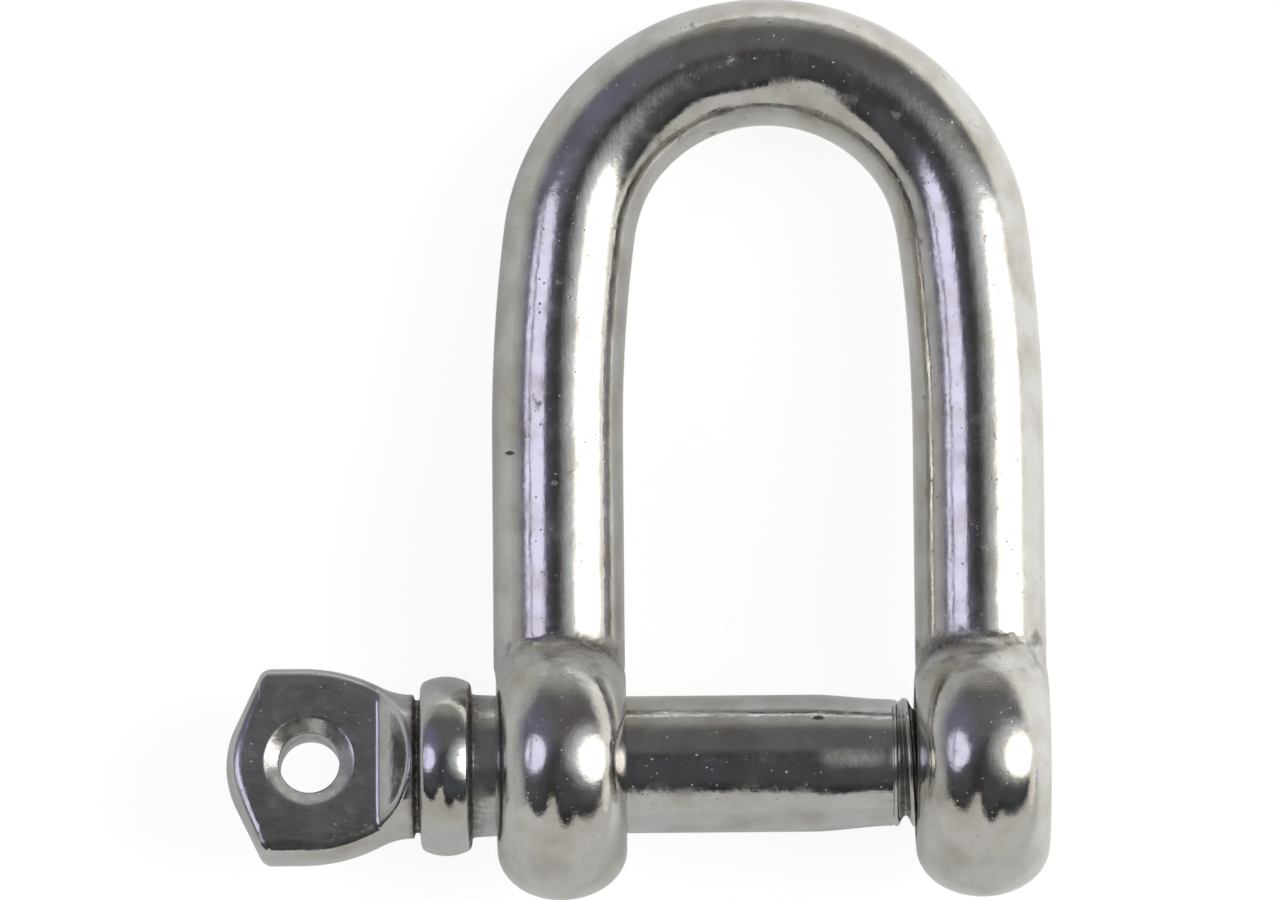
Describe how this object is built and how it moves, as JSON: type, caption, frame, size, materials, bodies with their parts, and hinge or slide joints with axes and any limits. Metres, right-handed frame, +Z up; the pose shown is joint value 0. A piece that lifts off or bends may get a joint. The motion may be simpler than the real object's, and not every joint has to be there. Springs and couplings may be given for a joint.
{
  "type": "screw pin chain shackle",
  "caption": "Polished steel D shackle that joins chain: a round bar bent to a U with a bored eye on each leg, closed by a screw pin with a collar and a flat pierced head.",
  "frame": {"origin": "middle of the bounding box, on the surface that the shackle lies on", "axes": "+X along the pin towards its thread, +Y towards the crown, +Z up; the bow's plane leans so that both eyes and the crown touch the surface"},
  "size_m": [0.06, 0.0658, 0.0197],
  "materials": {
    "bow_steel": "polished stainless steel with fine pits and scratches",
    "pin_steel": "polished stainless steel, darker in its grooves"
  },
  "bodies": {
    "bow": {"bow": "bow_steel"},
    "pin": {"screw_pin": "pin_steel"}
  },
  "joints": [
    {"name": "pin_draw", "type": "slide", "parent": "bow", "child": "pin", "axis": [-1, 0, 0], "range_m": [-0.0015, 0.048]}
  ]
}
